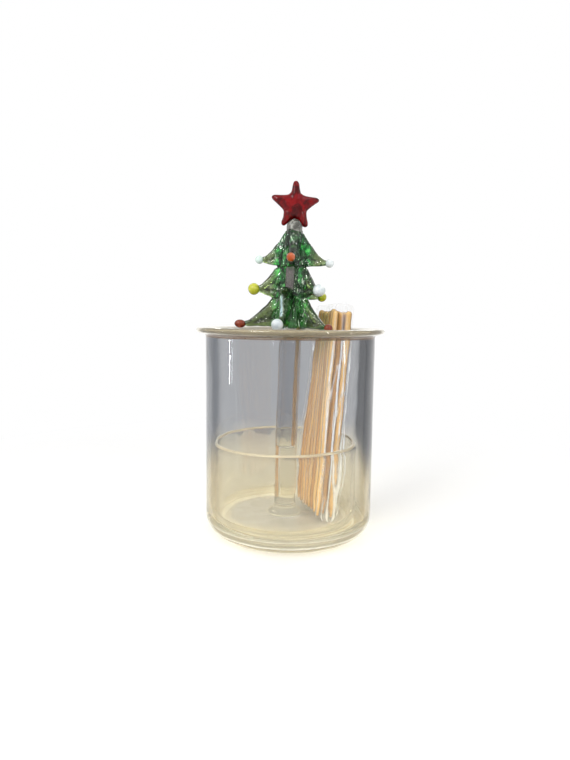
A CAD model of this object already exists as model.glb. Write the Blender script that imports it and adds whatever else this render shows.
# Glass toothpick holder: a clear cup, a lift-out cup whose tall stem carries a lampwork
# fir tree and a star, and a film bag of toothpicks.
from math import atan2, cos, degrees, exp, pi, radians, sin, sqrt, tan

import bpy
import numpy as np
from mathutils import Matrix, Vector, noise


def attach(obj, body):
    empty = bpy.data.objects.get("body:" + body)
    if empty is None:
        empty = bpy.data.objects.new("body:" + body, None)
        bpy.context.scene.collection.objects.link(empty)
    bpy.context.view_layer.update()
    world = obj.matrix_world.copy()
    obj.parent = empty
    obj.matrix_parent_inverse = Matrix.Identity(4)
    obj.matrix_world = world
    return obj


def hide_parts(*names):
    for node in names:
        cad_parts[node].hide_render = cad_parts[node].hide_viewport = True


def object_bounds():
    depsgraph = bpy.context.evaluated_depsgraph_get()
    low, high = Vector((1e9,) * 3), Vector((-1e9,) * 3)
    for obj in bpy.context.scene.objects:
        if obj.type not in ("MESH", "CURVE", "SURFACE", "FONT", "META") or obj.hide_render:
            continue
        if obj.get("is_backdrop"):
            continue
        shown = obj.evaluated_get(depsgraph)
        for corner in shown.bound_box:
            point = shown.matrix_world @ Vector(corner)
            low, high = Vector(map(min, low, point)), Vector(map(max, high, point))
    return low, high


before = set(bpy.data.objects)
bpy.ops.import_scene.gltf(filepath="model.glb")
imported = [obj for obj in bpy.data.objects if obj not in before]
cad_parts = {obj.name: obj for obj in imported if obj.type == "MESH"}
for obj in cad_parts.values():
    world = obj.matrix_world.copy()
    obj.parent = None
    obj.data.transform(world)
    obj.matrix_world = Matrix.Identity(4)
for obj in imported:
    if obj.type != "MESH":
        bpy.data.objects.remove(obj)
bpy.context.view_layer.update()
mm = 0.001
print("frame loaded:", len(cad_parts), "nodes")


# Node trees

def operator(operation, reflected=False):  # one of Python's operators as a Math node
    def act(wire, other):
        return wire.tree.maths(operation, *((other, wire) if reflected else (wire, other)))
    return act


class Wire:  # a socket in a node tree, on which Python's operators add Math nodes
    def __init__(self, tree, socket):
        self.tree, self.socket = tree, socket

    __add__, __radd__ = operator("ADD"), operator("ADD", True)
    __sub__, __rsub__ = operator("SUBTRACT"), operator("SUBTRACT", True)
    __mul__, __rmul__ = operator("MULTIPLY"), operator("MULTIPLY", True)
    __truediv__, __rtruediv__ = operator("DIVIDE"), operator("DIVIDE", True)
    __pow__, __mod__ = operator("POWER"), operator("FLOORED_MODULO")

    def apply(self, operation, *others):
        return self.tree.maths(operation, self, *others)

    def clamp(self, low=0.0, high=1.0):
        return self.apply("MAXIMUM", low).apply("MINIMUM", high)

    def output(self, name):  # another output of the same node
        return Wire(self.tree, self.socket.node.outputs[name])


class NodeTree:  # makes the nodes of one shader or Geometry Nodes tree
    def __init__(self, tree):
        self.tree = tree

    def node(self, kind, settings=None, values=None, out=0):
        made = self.tree.nodes.new(kind)
        for key, value in (settings or {}).items():
            setattr(made, key, value)
        for key, value in (values or {}).items():
            socket = made.inputs[key]
            if isinstance(value, Wire):
                self.tree.links.new(value.socket, socket)
            else:
                socket.default_value = value
        return Wire(self, made.outputs[out]) if len(made.outputs) else None

    def maths(self, operation, *values):
        return self.node("ShaderNodeMath", {"operation": operation}, dict(enumerate(values)))

    def vectorMaths(self, operation, *values):
        return self.node("ShaderNodeVectorMath", {"operation": operation}, dict(enumerate(values)))

    def split(self, vector):
        x = self.node("ShaderNodeSeparateXYZ", None, {0: vector})
        return x, x.output("Y"), x.output("Z")

    def join(self, **parts):  # a vector from its X, Y and Z
        return self.node("ShaderNodeCombineXYZ", None, parts)

    def ramp(self, value, low, high):  # 0 below low, 1 above high, smooth between
        return self.node("ShaderNodeMapRange", {"interpolation_type": "SMOOTHSTEP"}, {
            "Value": value, "From Min": low, "From Max": high})

    def ray(self, kind):
        return self.node("ShaderNodeLightPath", out=f"Is {kind} Ray")


class Finish(NodeTree):  # one material
    def __init__(self, name):
        self.material = bpy.data.materials.new(name)
        self.material.use_nodes = True
        self.material.node_tree.nodes.clear()
        super().__init__(self.material.node_tree)

    def place(self, turn=(0, 0, 0), shift=(0, 0, 0)):  # Object coordinates, in millimetres
        spot = self.node("ShaderNodeTexCoord", out="Object")
        return self.node("ShaderNodeMapping", {"vector_type": "TEXTURE"}, {
            "Vector": spot, "Location": shift, "Rotation": turn, "Scale": (mm, mm, mm)})

    def grain(self, vector, scale, detail=2.0, rough=0.5, twist=0.0, upScale=None):
        if upScale:  # below 1 it draws the grain out upwards
            vector = self.vectorMaths("MULTIPLY", vector, (1, 1, upScale))
        return self.node("ShaderNodeTexNoise", None, {
            "Vector": vector, "Scale": scale, "Detail": detail, "Roughness": rough,
            "Distortion": twist})

    def blend(self, share, first, second):  # two colours
        colour = lambda c: c if isinstance(c, Wire) else (*c, 1)
        return self.node("ShaderNodeMix", {"data_type": "RGBA"}, {
            0: share, 6: colour(first), 7: colour(second)}, 2)

    def relief(self, height, strength, distance):
        return self.node("ShaderNodeBump", None, {
            "Strength": strength, "Distance": distance, "Height": height})

    def attribute(self, name):
        return self.node("ShaderNodeAttribute", {"attribute_name": name}, out="Fac")

    def facing(self, blend=0.5):  # 0 where the surface faces the eye, 1 at its silhouette
        return self.node("ShaderNodeLayerWeight", None, {"Blend": blend}, "Facing")

    def surface(self, **values):
        return self.node("ShaderNodeBsdfPrincipled", None, {
            key.replace("_", " "): value for key, value in values.items()})

    def clear(self, tint):
        return self.node("ShaderNodeBsdfTransparent", None, {"Color": (*tint, 1)})

    def mix(self, share, first, second):  # two shaders
        return self.node("ShaderNodeMixShader", None, {0: share, 1: first, 2: second})

    def end(self, shader, shade=None):  # lamps shine through a surface that has a shade
        if shade:
            shader = self.mix(self.ray("Shadow"), shader, self.clear(shade))
        self.node("ShaderNodeOutputMaterial", None, {"Surface": shader})
        return self.material


# Meshes

def addObject(name, data):
    made = bpy.data.objects.new(name, data)
    bpy.context.scene.collection.objects.link(made)
    return made


def makeMesh(name, points, faces, material, attributes=None):
    mesh = bpy.data.meshes.new(name)
    mesh.from_pydata([tuple(p) for p in points], [], [tuple(f) for f in faces])
    for key, values in (attributes or {}).items():
        layer = mesh.attributes.new(key, "FLOAT", "POINT")
        layer.data.foreach_set("value", np.asarray(values, np.float32))
    mesh.materials.append(material)
    mesh.update()
    mesh.shade_smooth()
    return addObject(name, mesh)


def bakeModifiers(piece):  # applies what the modifiers make, as a plain mesh
    graph = bpy.context.evaluated_depsgraph_get()
    graph.update()
    mesh = bpy.data.meshes.new_from_object(piece.evaluated_get(graph))
    piece.modifiers.clear()
    old, piece.data = piece.data, mesh
    bpy.data.meshes.remove(old)
    mesh.name = piece.name
    mesh.shade_smooth()
    return piece


def addPiece(piece, body, slot, *nodes):
    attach(piece, body)
    if nodes:
        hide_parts(*nodes)
    return piece


def arc(centre, radius, start, stop, steps):
    turns = [radians(start + (stop - start) * i / steps) for i in range(steps + 1)]
    return [(centre[0] + radius * cos(a), centre[1] + radius * sin(a)) for a in turns]


def straight(start, stop, steps):  # points between two others, both ends left out
    return [tuple(a + (b - a) * i / steps for a, b in zip(start, stop))
            for i in range(1, steps)]


def wave(x, y, z, scale, seed):
    return noise.noise(Vector((x * scale + seed, y * scale - seed, z * scale + 2 * seed)))


def around(count):  # the angles of that many points round a circle
    return [2 * pi * j / count for j in range(count)]


def band(low, high):  # faces between two rings of points, either of which may be one point
    faces = []
    for j in range(len(low)):
        k = (j + 1) % len(low)
        face = [low[j], low[k], high[k], high[j]]
        faces.append([v for i, v in enumerate(face) if v not in face[:i]])
    return faces


def bands(rings):
    return [face for low, high in zip(rings, rings[1:]) for face in band(low, high)]


def lathe(outline, turns, shape):  # points, faces and marks of an outline turned about Z
    points, rings, marks = [], [], []
    for r, z, outside in outline:
        count = turns if r > 1e-6 else 1
        rings.append([len(points) + (j if count > 1 else 0) for j in range(turns)])
        points += [shape(r * cos(a), r * sin(a), z, r) for a in around(turns)[:count]]
        marks += [outside] * count
    return points, bands(rings), marks


def marked(outline, outside):
    return [(r, z, outside) for r, z in outline]


def joinShells(*shells):  # several lists of points and faces as one
    points, faces = [], []
    for shellPoints, shellFaces in shells:
        start = len(points)
        points += shellPoints
        faces += [[v + start for v in face] for face in shellFaces]
    return points, faces


def loft(rings):  # points and faces of a solid drawn through rings, closed by a fan at each end
    sides = len(rings[0])
    points = [p for ring in rings for p in ring]
    order = [list(range(i, i + sides)) for i in range(0, len(points), sides)]
    for ring in (rings[0], rings[-1]):
        points.append(tuple(sum(p[axis] for p in ring) / sides for axis in range(3)))
    order = [[len(points) - 2] * sides, *order, [len(points) - 1] * sides]
    return points, bands(order[::-1])


# The holder's own places

lifterPlace = {
    "shift": 1.3,       # the lifter stands this far to the left of the outer cup's middle
    "floor": 3.0,       # top of the outer cup's floor
    "innerFloor": 2.1,  # thickness of the inner cup's floor
    "stemLean": 1.35,   # degrees
}
onLifter = Matrix.Translation((-lifterPlace["shift"], 0, lifterPlace["floor"]))
onFloor = onLifter @ Matrix.Translation((0, 0, lifterPlace["innerFloor"]))
onStem = onFloor @ Matrix.Rotation(radians(lifterPlace["stemLean"]), 4, "Y")


def placed(points, place):  # millimetres in a place of their own, as metres in the frame
    return [place @ Vector(p) * mm for p in points]


# Glass

clearGlassLook = {
    "low": (0.97, 0.955, 0.90),        # straw, at the foot of the cups
    "high": (0.97, 0.975, 0.98),
    "lowDepth": (0.54, 0.48, 0.34),    # what is seen right through the cup takes these on
    "highDepth": (0.145, 0.152, 0.165),
    "lowEdge": (0.62, 0.52, 0.30),     # towards the silhouette
    "highEdge": (0.075, 0.095, 0.135),
    "turn": (17.0, 33.0),              # heights between which low becomes high
    "edge": (0.42, 0.70), "darkEdge": (0.36, 0.58),
    "ripple": 0.10,                    # depth of the uneven surface
    "axis": 0.0,
    "darkSide": (20.0, 24.0, (0.010, 0.011, 0.014)),  # the right-hand side is darker
    "shade": (0.95, 0.945, 0.92),      # of light that has come through
    "castLine": (1.0, 0.97, 0.86),     # a cast's colour at the silhouette
    "casts": [  # light gathers in the thick parts: heights and distances from the axis over
        # which a cast comes in, share, share at the silhouette, colour, its own line colour
        ((61.3, 61.6, 62.6, 62.2), (25, 26), 0.80, 0.60, (0.13, 0.075, 0.035),
         (0.16, 0.10, 0.05)),
        ((62.1, 62.9), (0, 1), 0.34, 0.65, (0.50, 0.42, 0.27)),
        ((8.0, 3.5), (17, 24), 0.34, 0.65, (0.62, 0.59, 0.45)),
        ((1.1, 0.5), (20, 21.5), 0.55, 0.65, (0.50, 0.40, 0.22)),
        ((3.6, 3.1), (21, 17), 0.35, 0.0, (0.66, 0.62, 0.52)),
        ((1.75, 1.95, 2.35, 2.15), (20, 21), 0.45, 0.2, (0.36, 0.28, 0.14), (0.36, 0.28, 0.14)),
        ((2.5, 2.7, 3.3, 3.0), (20, 21), 0.55, 0.3, (0.97, 0.95, 0.84)),
        ((4.6, 4.8, 5.2, 5.0), (20, 21), 0.35, 0.2, (0.97, 0.95, 0.84))],
    "top": (500, 501, (1, 1, 1)),      # heights between which the stem's tip turns grey
    "melted": ((0.10, 0.10, 0.085), (0.03, 0.03, 0.028)),  # lumps there, and their edges
}


def clearGlass(name, look):
    f = Finish(name)
    spot = f.place()
    x, y, z = f.split(spot)
    facing = f.facing()
    streak = f.grain(spot, 0.12, 3, upScale=0.10)
    height = f.ramp(z + 10 * (streak - 0.5), *look["turn"])
    tint, depth, edgeTint = (f.blend(height, look["low" + part], look["high" + part])
                             for part in ("", "Depth", "Edge"))
    behind = f.node("ShaderNodeNewGeometry", out="Backfacing") * f.attribute("outside")
    colour = f.blend(behind, tint, depth)
    darkFrom, darkTo, darkTint = look["darkSide"]
    dark = f.ramp(x, darkFrom, darkTo) * height
    edgeTint = f.blend(dark, edgeTint, darkTint)
    edge = f.ramp(facing, *look["edge"]) * (0.55 + 0.9 * streak)
    edge = edge + dark * f.ramp(facing, *look["darkEdge"])
    colour = f.blend(edge.clamp(), colour, edgeTint)
    topFrom, topTo, topTint = look["top"]
    top = f.ramp(z, topFrom, topTo)
    lumps = f.grain(spot, 0.42, 1.5, 0.5, 1.0)
    melted = f.blend(f.ramp(lumps, 0.40, 0.56), topTint, look["melted"][0])
    melted = f.blend(f.ramp(facing, 0.45, 0.8), melted, look["melted"][1])
    colour = f.blend(top, colour, melted)
    uneven = f.grain(spot, 0.16, 1.5, upScale=0.35) + 0.04 * f.grain(spot, 1.3) + 6 * lumps * top
    normal = f.relief(uneven, 0.5, look["ripple"] * mm)
    glass = f.surface(Base_Color=colour, Roughness=0.0, IOR=1.5, Transmission_Weight=1.0,
                      Normal=normal)
    x = x + look["axis"]
    away = (x * x + y * y) ** 0.5
    line = f.ramp(facing, 0.66, 0.90)
    cloud = 0.55 + 0.9 * f.grain(spot, 0.22, 4, 0.6, 0.6)
    for heights, distances, share, lineShare, cast, *lineCast in look["casts"]:
        place = f.ramp(z, *heights[:2]) * f.ramp(away, *distances)
        if len(heights) > 2:
            place *= f.ramp(z, *heights[2:])
        pale = f.blend(line, cast, lineCast[0] if lineCast else look["castLine"])
        matte = f.surface(Base_Color=pale, Roughness=0.08, IOR=1.5, Normal=normal)
        amount = place * (share * cloud + lineShare * line)
        glass = f.mix(amount.clamp(0, 0.85), glass, matte)
    return f.end(glass, look["shade"])


outerCupSizes = {
    "radius": 26.25, "height": 64.4, "wall": 1.6, "floor": 3.0, "corner": 6.0,
    "lipReach": 2.9, "lipBend": 0.85, "lipTurn": 75.0,
    "turns": 288, "wobble": 0.09, "lipWobble": 0.12,
}


def cupOutside(radius, corner):
    return ([(0, 0)] + straight((0, 0), (radius - corner, 0), 5)
            + arc((radius - corner, corner), corner, -90, 0, 14))


def cupInside(radius, wall, floor, corner):
    return (arc((radius - corner, floor + corner - wall), corner - wall, 0, -90, 14)
            + straight((radius - corner, floor), (0, floor), 5) + [(0, floor)])


def makeOuterCup(s):
    half, bend = s["wall"] / 2, s["lipBend"]
    midBend, bendEnd = bend + half, 180 - s["lipTurn"]
    out, up = sin(radians(s["lipTurn"])), cos(radians(s["lipTurn"]))
    endCos, endSin = cos(radians(bendEnd)), sin(radians(bendEnd))
    run = (s["lipReach"] - half - bend - midBend * endCos) / out
    bendAt = (s["radius"] + bend, s["height"] - half - midBend * endSin - run * up)
    tip = (bendAt[0] + midBend * endCos + run * out, bendAt[1] + midBend * endSin + run * up)
    wallBottom = (s["radius"], s["corner"])
    inside = cupInside(s["radius"], s["wall"], s["floor"], s["corner"])
    outer = cupOutside(s["radius"], s["corner"])
    outer += straight(wallBottom, (s["radius"], bendAt[1]), 34)
    outer += arc(bendAt, bend, 180, bendEnd, 8)
    outer += arc(tip, half, bendEnd - 180, bendEnd, 12)
    inner = arc(bendAt, bend + s["wall"], bendEnd, 180, 8)
    inner += straight((inside[0][0], bendAt[1]), inside[0], 34) + inside
    outline = marked(outer, 1) + marked(inner, 0)
    lipFrom = s["height"] - 6

    def shape(x, y, z, r):
        swell = s["wobble"] * min(1, r / 10) * (
            wave(x, y, z * 0.5, 0.09, 3) + 0.4 * wave(x, y, z, 0.22, 7))
        swell *= 0.4 if z > s["height"] - 2 else 1
        sink = s["lipWobble"] * min(0, wave(x, y, 0, 0.06, 11)) if z > lipFrom else 0
        grow = 1 + (swell / r if r else 0)
        return (x * grow * mm, y * grow * mm, (z + sink) * mm)

    return lathe(outline, s["turns"], shape)


points, faces, outside = makeOuterCup(outerCupSizes)
outerCup = makeMesh("outerCupGlass", points, faces, clearGlass("clearCupGlass", clearGlassLook),
                    {"outside": outside})
addPiece(outerCup, "outer_cup", "clear_glass", "outer_cup")
print("outer cup")

lifterSizes = {
    "radius": 22.5, "height": 26.1, "wall": 1.2, "floor": 2.1, "corner": 4.2,
    "footRadius": 5.3, "footHeight": 3.2, "waistShare": 0.76,
    "stemRadius": 3.4, "stemWall": 1.25, "topRadius": 2.45, "stemHeight": 92.534,
    "drawnShare": 0.62, "neckShare": 0.76, "boreShare": 0.72, "boreStart": 21.28,
    "clearance": 0.06,  # the underside stays clear of the outer cup's floor
    "turns": 176, "boreTurns": 96, "wobble": 0.06, "stemWobble": (0.10, 0.05), "stemBend": 0.14,
}


def stemRadius(z, s=lifterSizes):
    share = (z / s["stemHeight"] - s["drawnShare"]) / (s["neckShare"] - s["drawnShare"])
    fall = (1 - cos(pi * min(1, max(0, share)))) / 2
    return s["stemRadius"] + (s["topRadius"] - s["stemRadius"]) * fall


def makeLifter(s):  # the inner cup, its foot and the stem, melted into one
    rim = (s["radius"] - s["wall"] / 2, s["height"] - s["wall"] / 2)
    outer = [(r, max(z, s["clearance"])) for r, z in cupOutside(s["radius"], s["corner"])]
    outer += straight(outer[-1], (s["radius"], rim[1]), 14)
    outer += arc(rim, s["wall"] / 2, 0, 180, 12)
    inside = cupInside(s["radius"], s["wall"], s["floor"], s["corner"])[:-1]
    inner = straight((inside[0][0], rim[1]), inside[0], 12)
    inner += [p for p in inside if p[0] > s["footRadius"] + 0.3]
    ring = s["footHeight"] / 4
    waist = s["stemRadius"] + (s["footRadius"] - s["stemRadius"]) * (1 - s["waistShare"])
    up, tall = s["floor"], s["stemHeight"]
    post = [(s["footRadius"] + 0.25, up)]
    post += arc((s["footRadius"] - ring, up + ring), ring, -50, 70, 10)
    post += arc((waist + ring, up + s["footHeight"] - ring), ring, 250, 180, 8)
    start = s["footHeight"] + 0.5
    for i in range(91):
        z = start + (tall - s["topRadius"] - start) * i / 90
        post.append((stemRadius(z), up + z))
    post += arc((0, up + tall - s["topRadius"]), s["topRadius"], 0, 90, 14)[1:]
    post[-1] = (0, post[-1][1])
    outline = marked(outer, 1) + marked(inner, 0) + marked(post, 1)
    lean = tan(radians(lifterPlace["stemLean"]))

    def shape(x, y, z, r):
        if r <= s["footRadius"] + 0.3 and z > up - 0.01:  # on the foot or the stem
            slow, quick = s["stemWobble"]
            swell = slow * wave(x * 0.6, y * 0.6, z, 0.16, 5) + quick * wave(x, y, z, 0.5, 9)
            swell *= min(1, (z - up) / 2)
            bend = s["stemBend"] * sin(pi * min(1, (z - up) / 60))  # drawn by hand
            grow = 1 + (swell / r if r > 0.4 else 0)
            return (x * grow + (z - up) * lean - bend, y * grow, z)
        swell = s["wobble"] * min(1, r / 10) * (
            wave(x, y, z, 0.11, 13) + 0.5 * wave(x, y, z, 0.3, 17))
        grow = 1 + (swell / r if r else 0)
        return (x * grow, y * grow, z)

    points, faces, outside = lathe(outline, s["turns"], shape)
    top, corner = s["boreShare"] * tall, 1.1
    bore = [(0, up + s["boreStart"])]
    bore += arc((s["stemRadius"] - s["stemWall"] - corner, up + s["boreStart"] + corner),
                corner, -90, 0, 6)
    for i in range(1, 61):
        z = s["boreStart"] + corner + (top - s["boreStart"] - corner) * i / 60
        bore.append((stemRadius(z) - s["stemWall"], up + z))
    bore += arc((0, up + top), bore[-1][0], 0, 90, 8)[1:]
    bore[-1] = (0, bore[-1][1])
    borePoints, boreFaces, boreOutside = lathe(marked(bore, 0), s["boreTurns"], shape)
    points, faces = joinShells((points, faces), (borePoints, [f[::-1] for f in boreFaces]))
    return placed(points, onLifter), faces, outside + boreOutside


lifterGlassLook = dict(
    clearGlassLook, low=(0.985, 0.975, 0.945), lowDepth=(0.82, 0.79, 0.70),
    highDepth=(0.40, 0.40, 0.42), lowEdge=(0.74, 0.68, 0.52), highEdge=(0.22, 0.25, 0.30),
    turn=(27.6, 28.6), edge=(0.62, 0.95), ripple=0.14, axis=lifterPlace["shift"],
    top=(91.0, 94.0, (0.52, 0.52, 0.47)), darkSide=(500, 501, (1, 1, 1)), casts=[
        ((28.35, 28.6), (17, 18), 0.60, 0.35, (0.78, 0.66, 0.44)),
        ((9.5, 5.5), (15, 21), 0.25, 0.4, (0.76, 0.70, 0.54)),
        ((4.6, 3.9), (18.5, 20.0), 0.60, 0.4, (0.95, 0.92, 0.78)),
        ((5.8, 5.2), (21, 16), 0.55, 0.0, (0.50, 0.50, 0.49)),
        ((75.0, 76.5, 84.6, 83.4), (6, 5), 0.50, 0.3, (0.23, 0.185, 0.195))])
points, faces, outside = makeLifter(lifterSizes)
lifterCup = makeMesh("lifterCupAndStem", points, faces,
                     clearGlass("clearLifterGlass", lifterGlassLook), {"outside": outside})
addPiece(lifterCup, "lifter", "clear_glass", "inner_cup", "stem_foot", "stem")
print("lifter's cup and stem")


# Fir tree

greenGlassLook = {
    "olive": (0.105, 0.140, 0.050), "paleOlive": (0.30, 0.38, 0.16),
    "green": (0.014, 0.19, 0.040), "lowGreen": (0.08, 0.50, 0.10),
    "lowFrom": (74, 71.5),             # heights between which the green becomes the low one
    "dark": (0.001, 0.014, 0.004), "bright": (0.14, 0.72, 0.16),
    "edgeTint": (0.002, 0.006, 0.002), "ridge": (0.52, 0.68, 0.36),
    "coreRadius": (4.4, 7.6),
    "edge": (0.28, 0.66),
    "fleck": (0.78, 0.92, 0.72), "fleckShare": 0.9, "gleam": (0.46, 0.66, 0.76),
    "shade": (0.20, 0.42, 0.18),
}


def greenGlass(look):
    f = Finish("greenLampworkGlass")
    spot = f.place(shift=(0.0006, 0, 0))
    x, y, z = f.split(spot)
    out = (x * x + y * y) ** 0.5
    streak = f.grain(spot, 0.55, 3, 0.6, 0.8, upScale=0.35)
    outer = f.ramp(out + 4 * (streak - 0.5), *look["coreRadius"])
    olive = f.blend(f.ramp(streak, 0.50, 0.72), look["olive"], look["paleOlive"])
    lower = f.ramp(z, *look["lowFrom"])
    patch = f.grain(spot, 0.40, 2, 0.5, 1.2) - 0.085 * lower
    green = f.blend(lower, look["green"], look["lowGreen"])
    green = f.blend(f.ramp(patch, 0.50, 0.62), green, look["dark"])
    green = f.blend(f.ramp(patch, 0.49, 0.40), green, look["bright"])
    colour = f.blend(outer, green, olive)
    hollow = f.attribute("hollow")
    colour = f.blend(0.9 * f.ramp(hollow, 0.05, 0.6), colour, look["edgeTint"])
    colour = f.blend(0.5 * f.ramp(hollow * -1, 0.55, 1.1), colour, look["ridge"])
    edge = f.ramp(f.facing(), *look["edge"])
    colour = f.blend(edge * 0.9, colour, look["edgeTint"])
    dents = f.grain(spot, 0.65, 2, 0.5, 0.8) * (1 - 0.6 * outer)
    normal = f.relief(dents, 0.6, 0.6 * mm)
    glass = f.surface(Base_Color=colour, Roughness=0.01, IOR=1.5, Transmission_Weight=1.0,
                      Normal=normal)
    thread = f.grain(spot, 0.85, 3, 0.6, 1.5, upScale=0.30)
    fleck = f.ramp(thread, 0.62, 0.67) * (1 - 0.80 * outer) * (1 - edge)
    gleam = f.attribute("gleam")
    pale = f.surface(Base_Color=f.blend(gleam, look["fleck"], look["gleam"]), Roughness=0.12,
                     IOR=1.5, Normal=normal)
    share = look["fleckShare"] * fleck + gleam * (0.35 + f.ramp(thread, 0.38, 0.60))
    return f.end(f.mix(share.clamp(0, 0.9), glass, pale), look["shade"])


treeSizes = {
    "weld": 0.35, "gap": 0.2, "lowest": 59.484,
    "tierHeights": [10.7, 9.8, 8.4], "fall": [1.0, 1.55, 1.55], "hollow": [1.6, 1.25, 1.3],
    "tipThickness": 1.6, "intoBead": 0.45,
    "finSteps": 30, "tipSteps": (0.5, 0.8, 0.97),
    "rodRadius": 1.3, "lowerRod": 0.9, "slim": 0.4, "uneven": 0.1, "sway": 0.3,
    "webHalf": 0.36, "webSides": 24,
    "ribs": ((0.26, 1), (0.44, -1), (0.62, 1), (0.80, -1)),  # where each ends, and its side
    "ribRadius": 0.55, "ribSteps": 14, "ribLean": 0.75,
    "ribEnds": (1.2, 1.0),        # how far inside a fin's upper and lower edge a rib ends
    "trunk": ((13, 0.15, 0.80), (14, 0.15, 0.80), (11, 0.45, 1.05)),  # rods, how far out, radius
    "window": (-112, 46, 71.6),  # azimuth, half width and foot of a place with the bare stem
    "shoulder": [0.0, 1.0, 2.4],  # how far a fin's root runs up into the tier above
    "shoulderShare": 0.36,        # of a fin's length is reached by it
    "trunkSteps": 16, "turnPerTier": 17, "wander": 9, "flare": 0.9,
    "drip": (-3.1, 65.9, 3.5),    # place across and up, and half height, of a pale drip
    "dripRadii": (0.5, 0.7, 0.78, 0.8, 0.8, 0.78, 0.76, 0.7, 0.5), "dripFront": 3.55,
    "dripShift": 0.25,            # across, because the stem leans
    "gleamHalf": 0.42, "gleamFade": 0.8,
    "voxel": 0.25, "roughen": 0.14,
}
# each branch: azimuth, reach, height of its tip as a share of the tier, bead diameter,
# bead length for its width, bead colour
treeBranches = [
    [(180, 9.50, 0.17, 2.59, 1.0, "mint"), (-94, 9.22, 0.18, 2.59, 1.3, "orange"),
     (-14, 10.51, 0.11, 2.59, 1.0, "white"), (86, 9.50, 0.17, 2.59, 1.0, "white")],
    [(180, 10.37, 0.29, 3.7, 1.0, "olive"), (-108, 10.51, 0.26, 0, 1.0, ""),
     (-44, 9.65, 0.28, 3.7, 1.0, "white"), (21, 9.07, 0.12, 2.96, 1.0, "olive"),
     (100, 10.37, 0.26, 3.33, 1.0, "orange")],
    [(180, 14.4, 0.07, 2.59, 1.4, "red"), (-109, 10.94, 0.09, 3.55, 1.0, "white"),
     (-44, 14.4, 0.02, 2.59, 1.0, "red"), (40, 9.75, 0.15, 2.59, 1.0, "olive"),
     (108, 12.96, 0.15, 3.33, 1.0, "white")],
]
tierLow = [0, 0, treeSizes["lowest"]]
tierLow[1] = tierLow[2] + treeSizes["tierHeights"][2] + treeSizes["gap"]
tierLow[0] = tierLow[1] + treeSizes["tierHeights"][1] + treeSizes["gap"]


def rod(path, radii, sides=14):  # a drawn rod of glass along a path
    rings, side = [], None
    for i, p in enumerate(path):
        ahead = (path[min(i + 1, len(path) - 1)] - path[max(i - 1, 0)]).normalized()
        side = (side - ahead * side.dot(ahead)) if side else ahead.orthogonal()
        side.normalize()
        up = ahead.cross(side)
        rings.append([tuple(p + radii[i] * (side * cos(a) + up * sin(a))) for a in around(sides)])
    return loft(rings)


def finEdges(s, tier, tipShare, share):  # heights of a branch's upper and lower edge
    low, tall = tierLow[tier], s["tierHeights"][tier]
    tipZ, tipHalf = low + tipShare * tall, s["tipThickness"] / 2
    fall = min(1, s["fall"][tier] * (1 - share) ** s["hollow"][tier])
    shoulder = s["shoulder"][tier] * max(0, 1 - share / s["shoulderShare"])
    return (tipZ + tipHalf + (low + tall - tipZ - tipHalf) * fall + shoulder,
            low + (tipZ - tipHalf - low) * share ** 2)


def makeFin(s, tier, branch):  # two rods that meet at the tip, with ribs and a web between
    azimuth, reach, tipShare = branch[:3]
    root = stemRadius(tierLow[tier] + s["tierHeights"][tier]) - s["weld"]
    intoBead = s["intoBead"] if branch[3] else 0
    end = (reach - root - s["rodRadius"] + intoBead) / (reach - root)
    inWindow = tier == 1 and abs(azimuth - s["window"][0]) < s["window"][1] / 2
    peak = s["window"][2] if inWindow else 1000

    def edges(share):  # how far out, and the heights of the upper and the lower edge
        high, low = finEdges(s, tier, tipShare, share * end)
        return root + (reach - root) * share * end, min(high, peak), low

    steps, under = s["finSteps"], s["lowerRod"]
    upper, lower, radii = [], [], []
    for i in range(steps + 1):
        share = i / steps
        out, high, low = edges(share)
        sway = s["sway"] * sin(3 * share + azimuth)
        r = s["rodRadius"] * (1 + s["uneven"] * sin(9 * share + azimuth))
        r *= 1 - s["slim"] * share ** 3
        upper.append(Vector((out, sway, high - r)))
        lower.append(Vector((out, -0.6 * sway, low + under * r)))
        radii.append(r)
    for step in s["tipSteps"]:  # rounds off the tip
        ahead = Vector((s["rodRadius"] * step, 0, 0))
        upper.append(upper[steps] + ahead)
        lower.append(lower[steps] + ahead)
        radii.append(radii[steps] * sqrt(1 - step ** 2))
    shells = [rod(upper, radii), rod(lower, [under * r for r in radii])]
    web = []
    for i in range(0, steps + 1, 2):
        middle, half = (upper[i] + lower[i]) / 2, (upper[i].z - lower[i].z) / 2
        thick = s["webHalf"] * (1 + 0.5 * sin(pi * i / steps))
        web.append([(middle.x, middle.y + thick * sin(a), middle.z + half * cos(a))
                    for a in around(s["webSides"])])
    shells.append(loft(web))
    above, below = s["ribEnds"]
    for k, (stop, side) in enumerate(s["ribs"]):
        path, sizes = [], []
        for i in range(s["ribSteps"] + 1):
            t = i / s["ribSteps"]
            out, high, low = edges(stop * t ** 0.8)
            z = high - above - (high - low - (above + below)) * t ** 1.3
            lean = side * s["ribLean"] * sin(pi * min(1, t + 0.15)) + 0.2 * sin(5 * t + k + azimuth)
            path.append(Vector((out, lean, z)))
            sizes.append(s["ribRadius"] * (0.85 + 0.3 * sin(2.5 * t + k)))
        shells.append(rod(path, sizes, 10))
    turn = Matrix.Rotation(radians(azimuth), 4, "Z")
    points, faces = joinShells(*shells)
    return placed([turn @ Vector(p) for p in points], onStem), faces


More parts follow.
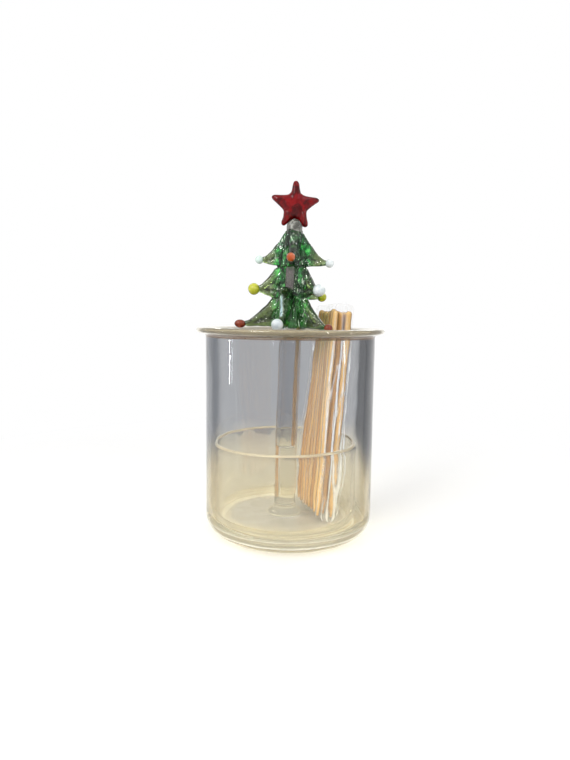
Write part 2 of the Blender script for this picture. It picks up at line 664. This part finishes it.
def makeTrunk(s, tier):  # rods that run down the stem in one tier
    count, outwards, thick = s["trunk"][tier]
    low, high = tierLow[tier] - 0.2, tierLow[tier] + s["tierHeights"][tier] + 0.3
    shells = []
    for k in range(count):
        azimuth = 360 * k / count + s["turnPerTier"] * tier
        away = abs((azimuth - s["window"][0] + 180) % 360 - 180)
        if tier == 1 and away < s["window"][1]:
            continue
        path, sizes = [], []
        for i in range(s["trunkSteps"] + 1):
            t = i / s["trunkSteps"]
            z = low + (high - low) * t
            turn = radians(azimuth + s["wander"] * sin(4 * t + 2 * k))
            tip = t ** 4 if tier == 0 else 0
            out = stemRadius(z) + outwards + s["flare"] * (1 - t) ** 2 - 0.3 * tip
            up = z + 0.4 * tip * sin(5 * k)
            path.append(Vector((out * cos(turn), out * sin(turn), up)))
            sizes.append(thick * (1 + 0.2 * sin(6 * t + 3 * k)) * (1 - 0.55 * tip))
        shells.append(rod(path, sizes, 10))
    points, faces = joinShells(*shells)
    return placed(points, onStem), faces


def makeDrip(s):  # a short pale rod on the front of the trunk
    at, middle, half = s["drip"]
    path = [Vector((at - 0.02 * k, -s["dripFront"] - 0.05 * k, middle + half * (1 - k / 4)))
            for k in range(len(s["dripRadii"]))]
    points, faces = rod(path, s["dripRadii"])
    return placed(points, onStem), faces


def meltTree(tree, s):
    melt = tree.modifiers.new("melt", "REMESH")
    melt.mode, melt.voxel_size = "VOXEL", s["voxel"] * mm
    soften = tree.modifiers.new("soften", "SMOOTH")
    soften.factor, soften.iterations = 0.5, 5
    bakeModifiers(tree)


def readRows(items, key, width, kind=float):  # one value of each item, as rows of numbers
    values = np.empty(len(items) * width, kind)
    items.foreach_get(key, values)
    return values.reshape(-1, width)


def markTree(mesh, s):  # marks the hollows and the drip, and then roughens the surface
    spots, normals = (readRows(mesh.vertices, key, 3) for key in ("co", "normal"))
    ends = readRows(mesh.edges, "vertices", 2, np.int32)
    links = np.bincount(ends.ravel(), minlength=len(spots)).astype(float)

    def besideEach(values):  # the mean of each vertex's neighbours
        return (np.bincount(ends[:, 0], values[ends[:, 1]], len(values))
                + np.bincount(ends[:, 1], values[ends[:, 0]], len(values))) / links

    hollow = sum((besideEach(spots[:, axis]) - spots[:, axis]) * normals[:, axis]
                 for axis in range(3))
    for _ in range(4):
        hollow = besideEach(hollow)
    hollow /= np.percentile(abs(hollow), 92)
    at, middle, half = s["drip"]
    middle += lifterPlace["floor"] + lifterPlace["innerFloor"]
    across, up = spots[:, 0] / mm - s["dripShift"] - at, abs(spots[:, 2] / mm - middle)
    gleam = np.exp(-(across / s["gleamHalf"]) ** 2) * (spots[:, 1] < -0.002)
    gleam *= np.clip((half - up) / s["gleamFade"], 0, 1)
    for key, values in (("hollow", hollow), ("gleam", gleam)):
        mesh.attributes.new(key, "FLOAT", "POINT").data.foreach_set(
            "value", values.astype(np.float32))
    swells = [wave(*(p / mm), 0.42, 21) + 0.5 * wave(*(p / mm), 0.95, 23) for p in spots]
    spots += normals * (np.array(swells) * s["roughen"] * mm)[:, None]
    mesh.vertices.foreach_set("co", spots.ravel())
    mesh.update()
    mesh.shade_smooth()


shells = [makeFin(treeSizes, tier, branch)
          for tier, row in enumerate(treeBranches) for branch in row]
shells += [makeTrunk(treeSizes, tier) for tier in range(3)] + [makeDrip(treeSizes)]
tree = makeMesh("firTreeGlass", *joinShells(*shells), greenGlass(greenGlassLook))
meltTree(tree, treeSizes)
markTree(tree.data, treeSizes)
tierNames = ("top", "middle", "bottom")
addPiece(tree, "lifter", "green_glass", *[
    f"{name}_branch_{i + 1}" for name, row in zip(tierNames, treeBranches)
    for i in range(len(row))])
print("fir tree:", len(tree.data.polygons), "faces")


# Beads

beadSizes = {"rings": 32, "sides": 40, "uneven": 0.035, "neck": 0.42}
beadColours = {  # body, swirl and neck, and the slot
    "white": ((0.74, 0.78, 0.78), (0.56, 0.62, 0.65), (0.42, 0.52, 0.40), "white_glass"),
    "mint": ((0.60, 0.74, 0.68), (0.76, 0.84, 0.80), (0.10, 0.34, 0.14), "white_glass"),
    "olive": ((0.42, 0.44, 0.02), (0.62, 0.60, 0.06), (0.10, 0.16, 0.01), "olive_glass"),
    "orange": ((0.38, 0.055, 0.006), (0.56, 0.13, 0.03), (0.16, 0.09, 0.005), "orange_glass"),
    "red": ((0.15, 0.018, 0.006), (0.29, 0.048, 0.016), (0.04, 0.010, 0.003), "amber_red_glass"),
}


def beadGlass(name, body, swirl, neck):
    f = Finish(name)
    spot = f.place()
    cloud = f.ramp(f.grain(spot, 0.5, 3, 0.6, 1.0), 0.35, 0.7)
    colour = f.blend(cloud, body, swirl)
    colour = f.blend(f.attribute("neck"), colour, neck)
    colour = f.blend(0.45 * f.facing() ** 2, colour, neck)
    normal = f.relief(f.grain(spot, 0.9), 0.15, 0.2 * mm)
    return f.end(f.surface(Base_Color=colour, Roughness=0.12, IOR=1.5, Specular_IOR_Level=0.2,
                           Coat_Weight=0.55, Coat_Roughness=0.03, Normal=normal))


def makeBead(s, b, tier, branch):
    azimuth, reach, tipShare, diameter, stretch, _ = branch
    radius, half = diameter / 2, diameter / 2 * stretch
    up = tierLow[tier] + tipShare * s["tierHeights"][tier]
    centre = Vector((reach + half - s["weld"], 0, up))
    rings, necks = [], []
    for i in range(1, b["rings"]):
        along = pi * i / b["rings"]
        out = sin(along)
        ring = []
        for a in around(b["sides"]):
            p = Vector((-half * cos(along), radius * out * cos(a), radius * out * sin(a)))
            p *= 1 + b["uneven"] * wave(*p, 0.5, azimuth * 0.1 + tier * 7)
            ring.append(tuple(centre + p))
            necks.append(max(0, 1 - (1 - cos(along)) / b["neck"]) ** 1.5)
        rings.append(ring)
    points, faces = loft(rings)
    turn = Matrix.Rotation(radians(azimuth), 4, "Z")
    return placed([turn @ Vector(p) for p in points], onStem), faces, necks + [1.0, 0.0]


for colour, (body, swirl, neck, slot) in beadColours.items():
    shells, necks, nodes = [], [], []
    for tier, row in enumerate(treeBranches):
        for i, branch in enumerate(row):
            if branch[5] == colour:
                points, faces, neckShares = makeBead(treeSizes, beadSizes, tier, branch)
                shells.append((points, faces))
                necks += neckShares
                nodes.append(f"{tierNames[tier]}_bead_{i + 1}")
    beads = makeMesh(colour + "Beads", *joinShells(*shells),
                     beadGlass(colour + "BeadGlass", body, swirl, neck), {"neck": necks})
    addPiece(beads, "lifter", slot, *nodes)
print("beads")


# Star

starSizes = {
    "centre": (0.0, 0.75, 96.47), "thickness": 3.7, "points": 240, "levels": 22,
    "uneven": 0.12,
    "outline": [  # corners of the hand-pulled outline, clockwise from its top
        (-0.95, 6.7), (-0.5, 7.6), (0.5, 7.6), (1.05, 6.8), (1.2, 5.4), (1.6, 3.9), (3.0, 3.15),
        (5.0, 2.9), (6.6, 2.75), (7.3, 2.3), (7.2, 1.5), (6.0, 0.75), (4.2, -0.7), (3.5, -1.5),
        (3.7, -3.4), (4.15, -5.0), (4.05, -5.9), (3.3, -6.3), (2.3, -5.9), (1.3, -4.3),
        (0.0, -3.6), (-1.3, -4.3), (-2.4, -5.4), (-3.2, -6.0), (-4.0, -5.7), (-4.15, -4.8),
        (-3.6, -3.4), (-3.45, -1.4), (-4.2, -0.6), (-5.9, 0.9), (-7.2, 2.0), (-7.35, 2.8),
        (-6.6, 3.3), (-4.4, 3.25), (-2.2, 3.4), (-1.35, 4.2), (-1.1, 5.6)],
}


redGlassLook = {
    "deep": (0.06, 0.0002, 0.0008), "bright": (0.24, 0.001, 0.003),
    "edge": (0.05, 0.0003, 0.001), "shade": (0.35, 0.02, 0.03),
}


def redGlass(look):
    f = Finish("redLampworkGlass")
    spot = f.place()
    cloud = f.grain(spot, 0.35, 3, 0.6, 0.8)
    colour = f.blend(f.ramp(cloud, 0.35, 0.65), look["deep"], look["bright"])
    colour = f.blend(f.ramp(f.facing(), 0.45, 0.9) * 0.75, colour, look["edge"])
    normal = f.relief(f.grain(spot, 0.45, 2, 0.5, 0.8), 0.35, 0.4 * mm)
    glass = f.surface(Base_Color=colour, Roughness=0.03, IOR=1.5, Specular_IOR_Level=0.06,
                      Transmission_Weight=0.2, Coat_Weight=0.18, Coat_Roughness=0.01,
                      Normal=normal)
    return f.end(glass, look["shade"])


def smoothOutline(corners, count):  # a closed curve that passes near the corners
    spots = [Vector(c) for c in corners]
    for _ in range(3):  # cuts each corner off three times
        cut = []
        for i, p in enumerate(spots):
            before, after = spots[i - 1], spots[(i + 1) % len(spots)]
            cut += [p.lerp(before, 0.22), p.lerp(after, 0.22)]
        spots = cut
    lengths = [0.0]
    for i, p in enumerate(spots):
        lengths.append(lengths[-1] + (spots[(i + 1) % len(spots)] - p).length)
    out, at = [], 0
    for k in range(count):
        goal = lengths[-1] * k / count
        while lengths[at + 1] < goal:
            at += 1
        t = (goal - lengths[at]) / (lengths[at + 1] - lengths[at])
        out.append(spots[at].lerp(spots[(at + 1) % len(spots)], t))
    return out


def makeStar(s):
    outline = smoothOutline(s["outline"], s["points"])
    centre, levels, rings = Vector(s["centre"]), [], []
    for i in range(1, s["levels"] + 1):
        share = sin(pi / 2 * i / s["levels"])
        levels.append((share, sqrt(max(0, 1 - share ** 2.3)) * s["thickness"] / 2))
    front = [(share, -out) for share, out in levels]
    for share, out in front + levels[-2::-1]:
        rings.append([])
        for p in outline:
            x, z = p.x * share, p.y * share
            y = out * (1 + s["uneven"] * wave(x, z, 0, 0.35, 31))
            rings[-1].append(tuple(centre + Vector((x, y, z))))
    points, faces = loft(rings)
    return placed(points, onStem), [f[::-1] for f in faces]


star = makeMesh("starGlass", *makeStar(starSizes), redGlass(redGlassLook))
addPiece(star, "lifter", "red_glass", "star")
print("star")


# Toothpicks

pickSizes = {
    "Length": 64.0, "Radius": 1.0, "Point": 4.0, "Point radius": 0.4, "Head": 0.95,
    "Pitch": 2.7, "Row pitch": 2.15, "Seat": 0.5, "Stagger": 0.6,
    "Rows": 3, "Columns": 8, "Seed": 4, "Foot twist": 0.05, "Head twist": 0.15,
    "Twist line": 6.0, "Shortest": 0.983, "Bend": 0.22, "Pale head": 1.4, "End grain": 0.8,
    "Steps": 97, "Sides": 20,
}
bagSizes = {
    "turn": 14.0, "lean": 5.8, "shift": 1.2, "spare": 1.2, "fold": 1.5, "slack": 0.3, "film": 0.2,
    "head": 1.2, "clearance": 0.3, "cupReach": 21.3,
    "around": 300, "up": 230,
    "wrinkles": (0.16, 0.10), "sharp": 0.88,
    "inward": 0.12, "outward": 1.6, "towardsTree": 0.08,  # how far the film may stray
    "bulge": (1.3, 14, 8, 292, 26),   # how far out, height, spread, place round the bag, spread
    "creaseFrom": 0.03, "creaseSpan": 0.16,
    "creaseHeights": ((0, 46, 58, 70), (1, 1, 0.3, 0.2)),
    "sag": 0.10,
}


def twistOf(p, y, z):  # the bundle is twisted: its back foot and its front head move inwards
    t = min(1, max(0, z / p["Length"]))
    return p["Head twist"] * t * min(0, y) - p["Foot twist"] * (1 - t) * (y + p["Twist line"])


def bagPlace(b, p):
    fold, clearance = b["fold"], b["clearance"]
    halfThick = (p["Rows"] - 1) / 2 * p["Row pitch"] + p["Radius"] + b["slack"] + b["film"]
    halfWide = (p["Columns"] - 1) / 2 * p["Pitch"] + b["spare"]
    lean, turn = radians(b["lean"]), radians(b["turn"])
    rise = fold + (halfThick - fold) * sin(lean) - fold * cos(lean) + clearance
    rimReach = b["cupReach"] - clearance - halfThick
    rimOver = (lifterSizes["height"] - lifterSizes["floor"] - rise) * tan(lean)
    out = sqrt(rimReach ** 2 - (halfWide + b["shift"]) ** 2) - rimOver
    place = (onFloor @ Matrix.Rotation(turn, 4, "Z") @ Matrix.Translation((out, b["shift"], rise))
             @ Matrix.Rotation(lean, 4, "Y"))
    tall = p["Seat"] + p["Length"] + p["Stagger"] + b["head"] + b["film"]
    return place, halfThick, halfWide, tall


onBag, bagHalfThick, bagHalfWide, bagTall = bagPlace(bagSizes, pickSizes)

bambooLook = {
    "dark": (0.57, 0.285, 0.075), "pale": (0.89, 0.59, 0.22),
    # how much of each is laid over them, and its colour
    "fibre": (0.18, (0.36, 0.16, 0.05)), "patch": (0.35, (0.87, 0.61, 0.28)),
    "side": (2.0, (0.17, 0.065, 0.015)), "endGrain": (0.65, (0.50, 0.28, 0.10)),
    "head": (0.7, (0.95, 0.66, 0.26)),
}


def bambooFinish(look):
    f = Finish("turnedBamboo")
    spot = f.place(tuple(onBag.to_euler()), tuple(onBag.translation * mm))
    fibre = f.grain(spot, 3.4, 4, 0.65, upScale=0.045)
    side = f.facing()
    laid = {
        "fibre": f.ramp(fibre, 0.42, 0.68),
        "patch": f.ramp(f.grain(spot, 0.5, upScale=0.12), 0.5, 0.75),
        "side": side * side,
        "endGrain": f.attribute("endGrain"),
        "head": f.attribute("head") * (1 - side),
    }
    colour = f.blend(f.attribute("tone"), look["dark"], look["pale"])
    for key, where in laid.items():
        share, tint = look[key]
        colour = f.blend((share * where).clamp(0, 0.9), colour, tint)
    return f.end(f.surface(Base_Color=colour, Roughness=0.5 + 0.15 * fibre, IOR=1.45,
                           Normal=f.relief(fibre, 0.5, 0.06 * mm)))


def pickTree(sizes, place, finish):
    group = bpy.data.node_groups.new("toothpickBundle", "GeometryNodeTree")
    face = group.interface
    face.new_socket("Geometry", in_out="OUTPUT", socket_type="NodeSocketGeometry")
    sockets = {}
    for name, value in sizes.items():
        kind = "NodeSocketInt" if isinstance(value, int) else "NodeSocketFloat"
        item = face.new_socket(name, in_out="INPUT", socket_type=kind)
        item.default_value = value
        sockets[name] = item.identifier
    g = NodeTree(group)
    asked = group.nodes.new("NodeGroupInput")
    size = {name: Wire(g, asked.outputs[name]) for name in sizes}
    length, thick, head = size["Length"], size["Radius"], size["Head"]
    rows, columns, pitch = size["Rows"], size["Columns"], size["Pitch"]
    position = g.node("GeometryNodeInputPosition")
    index = g.node("GeometryNodeInputIndex")

    def change(kind, geometry, values=None):
        return g.node("GeometryNode" + kind, None, {0: geometry, **(values or {})})

    def store(geometry, domain, name, value):
        return g.node("GeometryNodeStoreNamedAttribute", {"data_type": "FLOAT", "domain": domain}, {
            "Geometry": geometry, "Name": name, "Value": value})

    def chance(low, high, draw):  # a random number for each toothpick
        return g.node("FunctionNodeRandomValue", {"data_type": "FLOAT"}, {
            "Min": low, "Max": high, "ID": index, "Seed": size["Seed"] + draw}, 1)

    # one toothpick: a circle swept along a line and scaled on the way, in millimetres
    line = g.node("GeometryNodeCurvePrimitiveLine", None, {
        "Start": (0, 0, 0), "End": g.join(Z=length)})
    line = change("ResampleCurve", line, {"Count": size["Steps"]})
    y, z = g.split(position)[1:]
    denser = length * (1 - (1 - z / length) ** 2)  # towards the head
    line = change("SetPosition", line, {"Position": g.join(Z=denser)})
    point = size["Point radius"]
    taper = point + (thick - point) * (z / size["Point"]).clamp()
    overHead = ((z - (length - head)) / head).clamp()
    radius = taper - head * (1 - (1 - overHead * overHead).apply("SQRT"))
    ring = g.node("GeometryNodeCurvePrimitiveCircle", None, {
        "Resolution": size["Sides"], "Radius": 1.0})
    pick = change("CurveToMesh", line, {"Profile Curve": ring, "Scale": radius, "Fill Caps": True})
    pick = store(pick, "POINT", "endGrain", (1 - z / size["End grain"]).clamp())
    pick = store(pick, "POINT", "head", (1 - (length - z) / size["Pale head"]).clamp())
    # where each one stands
    row = index % rows
    column = (index / rows).apply("FLOOR")
    middleRow = 1 - 2 * (row - 1).apply("ABSOLUTE")
    across = (row - (rows - 1) / 2) * size["Row pitch"]
    along = (column - (columns - 1) / 2) * pitch + pitch / 4 * middleRow
    swing = (index * radians(137)).apply("SINE")
    lift = size["Seat"] + size["Stagger"] * (1 + swing) / 2
    points = g.node("GeometryNodePoints", None, {
        "Count": rows * columns, "Position": g.join(X=across, Y=along, Z=lift)})
    picks = change("InstanceOnPoints", points, {
        "Instance": pick, "Rotation": g.join(Z=chance(0.0, 6.28, 0)),
        "Scale": g.join(X=1.0, Y=1.0, Z=chance(size["Shortest"], 1.0, 5))})
    picks = store(picks, "INSTANCE", "tone", chance(0.0, 1.0, 9))
    picks = change("RealizeInstances", picks)
    # turned wood is never quite straight or round, and the bundle is twisted
    bent = g.node("ShaderNodeTexNoise", {"noise_dimensions": "3D"}, {
        "Vector": position, "Scale": 0.35, "Detail": 1.0}, "Color")
    bent = g.vectorMaths("SUBTRACT", bent, (0.5, 0.5, 0.5))
    bent = g.vectorMaths("MULTIPLY", bent, g.join(X=size["Bend"], Y=size["Bend"]))
    picks = change("SetPosition", picks, {"Offset": bent})
    t = (z / length).clamp()
    twist = size["Head twist"] * t * y.apply("MINIMUM", 0.0)
    twist = twist - size["Foot twist"] * (1 - t) * (y + size["Twist line"])
    picks = change("SetPosition", picks, {"Offset": g.join(X=twist)})
    picks = change("Transform", picks, {
        "Translation": tuple(place.translation * mm), "Rotation": tuple(place.to_euler()),
        "Scale": (mm, mm, mm)})
    picks = change("SetShadeSmooth", picks)
    picks = change("SetMaterial", picks, {"Material": finish})
    group.links.new(picks.socket, group.nodes.new("NodeGroupOutput").inputs[0])
    return group, sockets


bamboo = bambooFinish(bambooLook)
bundle = makeMesh("toothpickBundle", [], [], bamboo)
pickGroup, pickSockets = pickTree(pickSizes, onBag, bamboo)
standing = bundle.modifiers.new("toothpicks", "NODES")
standing.node_group = pickGroup
for name, value in pickSizes.items():
    standing[pickSockets[name]] = value
bakeModifiers(bundle)
addPiece(bundle, "toothpick_bag", "bamboo",
         *[f"toothpick_{i:02d}" for i in range(1, pickSizes["Rows"] * pickSizes["Columns"] + 1)])
print("toothpicks:", len(bundle.data.polygons), "faces")


# Film bag

filmLook = {
    "haze": 0.04, "rim": 0.34, "crease": 0.95, "strands": 0.14,
    "rimHeights": (60, 66), "belowRim": 0.75,
    "shine": (0.86, 0.88, 0.90, 1), "clear": (0.985, 0.985, 0.985), "shade": (0.94, 0.94, 0.94),
    "folds": [  # place round the bag in degrees from its outer side, height span, width, out
        (268, 4, 63, 1.5, 0.50), (258, 20, 64, 1.3, 0.40), (247, 6, 60, 1.3, 0.38),
        (283, 10, 58, 1.5, 0.48), (238, 14, 50, 1.2, 0.30), (275, 24, 62, 1.1, 0.34),
        (304, 2, 30, 2.4, 0.7), (95, 8, 60, 3.0, 0.3)],
    "foldSway": 2.2,
}


def filmFinish(look):
    f = Finish("crinkledFilm")
    spot = f.place()
    z = f.split(spot)[2]
    fine = f.grain(spot, 0.9, 4, 0.6, 0.6, upScale=0.22)
    belowRim = 1 - look["belowRim"] * f.ramp(z, *look["rimHeights"])
    veil = look["rim"] * f.facing(0.35) ** 2.2 * (0.2 + f.ramp(z, 26, 52) * (0.3 + fine))
    seen = look["haze"] + veil + look["strands"] * f.ramp(fine, 0.60, 0.68)
    seen = seen * belowRim + look["crease"] * f.attribute("crease")
    shine = f.surface(Base_Color=look["shine"], Roughness=0.10, IOR=1.49, Specular_IOR_Level=0.9,
                      Normal=f.relief(fine, 0.6, 0.25 * mm))
    return f.end(f.mix(seen.clamp(0, 0.92), f.clear(look["clear"]), shine), look["shade"])


def ringPoint(halfThick, halfWide, u):  # a point on the bag's rounded outline, and outwards
    flat, bend = 2 * halfWide, pi * halfThick
    along = (u % 1 * 2 * (flat + bend) + halfWide) % (2 * (flat + bend))
    side = 1 if along < flat + bend else -1
    along %= flat + bend
    if along < flat:
        return Vector((side * halfThick, side * (along - halfWide))), Vector((side, 0))
    turn = (along - flat) / halfThick
    out = side * Vector((cos(turn), sin(turn)))
    return Vector((0, side * halfWide)) + out * halfThick, out


def makeBag(b, look):
    half, fold = b["film"] / 2, b["fold"]
    tall, thick = bagTall - half, bagHalfThick - half

    def corner(up, start, stop):  # half of the fold at one end, as shares of the thickness
        return [((thick - fold + r) / thick, z) for r, z in arc((0, up), fold, start, stop, 8)]

    profile = [(0.0, half), (0.35, half), (0.75, half)] + corner(fold + half, -90, 0)
    profile += [(1.0, z) for z in np.linspace(fold + half, tall - fold, b["up"])[1:-1]]
    profile += corner(tall - fold, 0, 90)
    profile += [(0.4, tall + 0.05), (0.15, tall + 0.15), (0.0, tall + 0.2)]
    bulgeOut, bulgeUp, bulgeTall, bulgeAt, bulgeWide = b["bulge"]
    slow, quick = b["wrinkles"]
    outline = []
    for i in range(b["around"]):
        p, out = ringPoint(thick, bagHalfWide, i / b["around"])
        outline.append((p, out, degrees(atan2(p.y, p.x)) % 360))
    rings = []
    for share, z in profile:
        ring = []
        for p, out, towards in outline:
            ridge = abs(wave(p.x, p.y, z * 0.10, 0.62, 47))
            d = slow * wave(p.x, p.y, z * 0.22, 0.42, 41) + quick * wave(p.x, p.y, z, 0.5, 43)
            d += b["sharp"] * max(0, 0.25 - ridge) - b["inward"]
            for at, low, high, width, height in look["folds"]:
                sway = look["foldSway"] * wave(0, at, z, 0.05, 51)
                off = (towards - at - sway + 180) % 360 - 180
                rise = min(1, max(0, (z - low) / 6)) * min(1, max(0, (high - z) / 6))
                d += height * rise * max(0, 1 - abs(off) / width) ** 1.3
            d += bulgeOut * exp(-((z - bulgeUp) / bulgeTall) ** 2
                                - ((towards - bulgeAt) / bulgeWide) ** 2)
            limit = b["towardsTree"] if out.x < -0.3 else b["outward"]
            d = max(-b["inward"], min(d, limit))
            x, y = (p.x + out.x * d) * share, p.y + out.y * d
            sag = b["sag"] * wave(p.x, p.y, z, 0.5, 57) if 0.2 < z < tall else 0
            ring.append((x + twistOf(pickSizes, y, z), y, z + sag))
        rings.append(ring)
    count = b["around"]
    points = [p for ring in rings for p in ring]
    order = [list(range(i, i + count)) for i in range(0, len(points), count)]
    grid = np.array(rings)
    smooth = sum(np.roll(grid, k, axis=1) for k in range(-6, 7)) / 13
    standing = (np.linalg.norm(grid[:, :, :2], axis=2) - np.linalg.norm(smooth[:, :, :2], axis=2)
                - b["creaseFrom"]) / b["creaseSpan"]
    crease = np.clip(standing, 0, 1) ** 1.4
    crease *= np.interp([z for _, z in profile], *b["creaseHeights"])[:, None]
    crease[:3] = crease[-3:] = 0
    return placed(points, onBag), bands(order), crease.ravel()


bagPoints, bagFaces, bagCreases = makeBag(bagSizes, filmLook)
bag = makeMesh("filmBag", bagPoints, bagFaces, filmFinish(filmLook), {"crease": bagCreases})
weldSeam = bag.modifiers.new("seam", "WELD")
weldSeam.merge_threshold = 0.03 * mm
bakeModifiers(bag)
addPiece(bag, "toothpick_bag", "clear_film", "pick_bag")
print("film bag:", len(bag.data.polygons), "faces")


# Setting

floorLook = {
    "half": 3.0, "low": -0.05, "colour": (0.90, 0.895, 0.88), "mottle": (0.84, 0.83, 0.81),
    "fade": (0.06, 0.20),  # distances over which it turns white to the eye
}


def floorFinish(look):
    f = Finish("paleTable")
    spot = f.node("ShaderNodeTexCoord", out="Object")
    far = f.vectorMaths("LENGTH", spot).output("Value")
    colour = f.blend(f.grain(spot, 60) * 0.1, look["colour"], look["mottle"])
    matte = f.surface(Base_Color=colour, Roughness=0.75, Specular_IOR_Level=0.25)
    white = f.node("ShaderNodeEmission", None, {"Color": (1, 1, 1, 1), "Strength": 1.0})
    seen = (f.ray("Camera") + f.ray("Glossy") + f.ray("Transmission")).clamp()
    return f.end(f.mix(f.ramp(far, *look["fade"]) * seen, matte, white))


half, low = floorLook["half"], floorLook["low"] * mm
corners = [(-half, -half, low), (half, -half, low), (half, half, low), (-half, half, low)]
floor = makeMesh("table", corners, [(0, 1, 2, 3)], floorFinish(floorLook))
floor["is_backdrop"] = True

worldLook = {
    "light": 0.60, "top": 0.12, "topFrom": (0.35, 0.85),
    "bands": 8, "bandDepth": 0.35, "bandEdge": (2.5, 1.0),
}


def makeWorld(look):  # a white tent with darker slots between its panels
    world = bpy.data.worlds.new("studio")
    bpy.context.scene.world = world
    world.use_nodes = True
    world.node_tree.nodes.clear()
    w = NodeTree(world.node_tree)
    x, y, z = w.split(w.node("ShaderNodeTexCoord", out="Generated"))
    up = w.ramp(z, *look["topFrom"])
    steep, width = look["bandEdge"]
    slots = ((x.apply("ARCTAN2", y) * look["bands"]).apply("COSINE") * -steep - width).clamp()
    shade = 1 - look["bandDepth"] * slots * (1 - up) - look["top"] * up
    camera = w.ray("Camera")
    mirrored = (w.ray("Glossy") + w.ray("Transmission")).clamp()
    strength = camera + (1 - camera) * (mirrored * shade + (1 - mirrored) * look["light"])
    light = w.node("ShaderNodeBackground", None, {"Color": (1, 1, 1, 1), "Strength": strength})
    w.node("ShaderNodeOutputWorld", None, {"Surface": light})


makeWorld(worldLook)

lampAim = Vector((0, 0, 0.055))
lamps = [  # name, place, size, watts
    ("keyLamp", (-0.42, -0.45, 0.55), (0.30, 0.30), 1.9),
    ("leftStrip", (-0.40, -0.05, 0.030), (0.010, 0.05), 0.05),
    ("rightStrip", (0.40, -0.12, 0.10), (0.02, 0.16), 0.12),
    ("backLamp", (0.22, 0.50, 0.42), (0.20, 0.20), 0.8),
    ("leftSpark", (-0.25, -0.36, 0.28), (0.025, 0.025), 0.25),
    ("rightSpark", (0.30, -0.30, 0.24), (0.025, 0.025), 0.22),
    ("highSpark", (0.04, -0.22, 0.46), (0.025, 0.025), 0.25),
    ("backSpark", (-0.16, 0.36, 0.30), (0.025, 0.025), 0.10),
    ("nearSpark", (-0.10, -0.40, 0.16), (0.012, 0.012), 0.09),
    ("lowSpark", (0.20, -0.36, 0.05), (0.012, 0.012), 0.09),
    ("sideSpark", (-0.34, -0.14, 0.20), (0.012, 0.012), 0.09),
    ("farSpark", (0.34, -0.06, 0.30), (0.012, 0.012), 0.09),
    ("overSpark", (-0.06, -0.10, 0.50), (0.012, 0.012), 0.09),
]
for name, spot, (wide, tall), watts in lamps:
    lamp = bpy.data.lights.new(name, "AREA")
    lamp.shape, lamp.size, lamp.size_y, lamp.energy = "RECTANGLE", wide, tall, watts
    holder = addObject(name, lamp)
    holder.location = spot
    holder.rotation_euler = (lampAim - Vector(spot)).to_track_quat("-Z", "Y").to_euler()

cameraSizes = {"place": (0, -0.1794, 0.0677), "pitch": 0.1098, "yaw": -0.0084,
               "roll": 0.0121, "lens": 27.04, "sensor": 36.0}


def makeCamera(c):
    camera = bpy.data.cameras.new("camera")
    camera.lens, camera.sensor_width = c["lens"], c["sensor"]
    camera.clip_start, camera.clip_end = 0.005, 20
    pitch, yaw, roll = c["pitch"], c["yaw"], c["roll"]
    right = Vector((cos(yaw), -sin(yaw), 0))
    ahead = cos(pitch) * Vector((sin(yaw), cos(yaw), 0)) - Vector((0, 0, sin(pitch)))
    up = right.cross(ahead)
    turned = cos(roll) * right + sin(roll) * up
    top = -sin(roll) * right + cos(roll) * up
    holder = addObject("camera", camera)
    axes = Matrix((turned, top, -ahead)).transposed().to_4x4()
    holder.matrix_world = Matrix.Translation(c["place"]) @ axes
    bpy.context.scene.camera = holder


makeCamera(cameraSizes)
bpy.context.scene.view_settings.view_transform = "Standard"
lightPaths = {  # the cups and the film stand many surfaces deep
    "max_bounces": 24, "transmission_bounces": 24, "glossy_bounces": 12,
    "transparent_max_bounces": 32,
}
for key, value in lightPaths.items():
    setattr(bpy.context.scene.cycles, key, value)
print("setting")

low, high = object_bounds()
